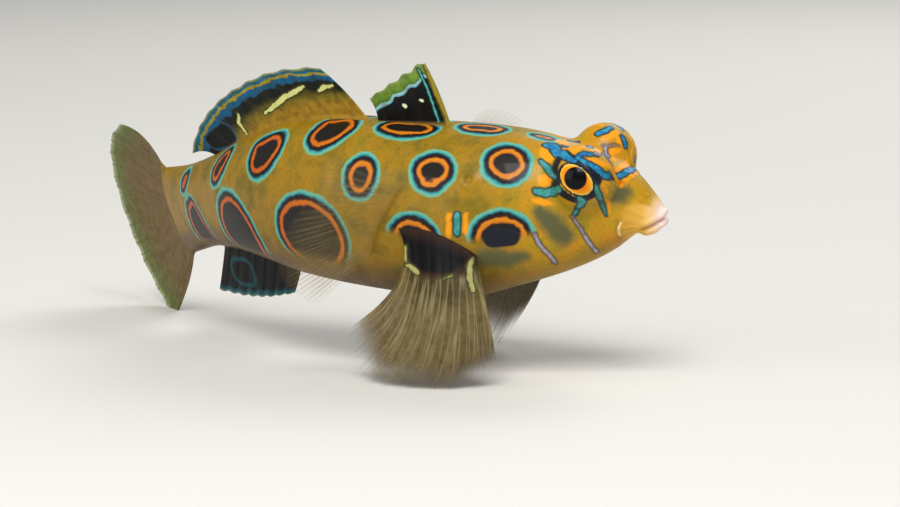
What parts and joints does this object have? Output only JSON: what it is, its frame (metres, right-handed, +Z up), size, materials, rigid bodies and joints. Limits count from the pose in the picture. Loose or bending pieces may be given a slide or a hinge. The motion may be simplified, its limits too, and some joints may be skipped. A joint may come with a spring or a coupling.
{
  "type": "spotted mandarinfish model",
  "caption": "Still life-size model of a spotted mandarinfish, standing on its spread pelvic fins and the lower corner of its tail fin.",
  "frame": {"origin": "on the floor, below the middle of the model's box", "axes": "+Z up, +X from the trunk towards the snout, +Y towards the fish's left side"},
  "size_m": [0.0616, 0.043, 0.0256],
  "materials": {
    "skin": "wet, scaleless skin, mustard with dark ocelli ringed orange, black and teal",
    "lips": "pale wet lips",
    "eye": "clear and glossy, orange iris and black pupil",
    "dark_fin": "dark membrane banded teal and yellow-green",
    "clear_fin": "clear to grey-olive membrane with pale rays"
  },
  "bodies": {
    "root": {"head": "skin", "torso": "skin", "tail": "skin", "upper_jaw": "lips", "lower_jaw": "lips", "eye_left": "eye", "eye_right": "eye", "first_dorsal_fin": "dark_fin", "second_dorsal_fin": "dark_fin", "anal_fin": "dark_fin", "caudal_fin": "clear_fin", "pectoral_fin_left": "clear_fin", "pectoral_fin_right": "clear_fin", "pelvic_fin_left": "clear_fin", "pelvic_fin_right": "clear_fin"}
  },
  "joints": []
}
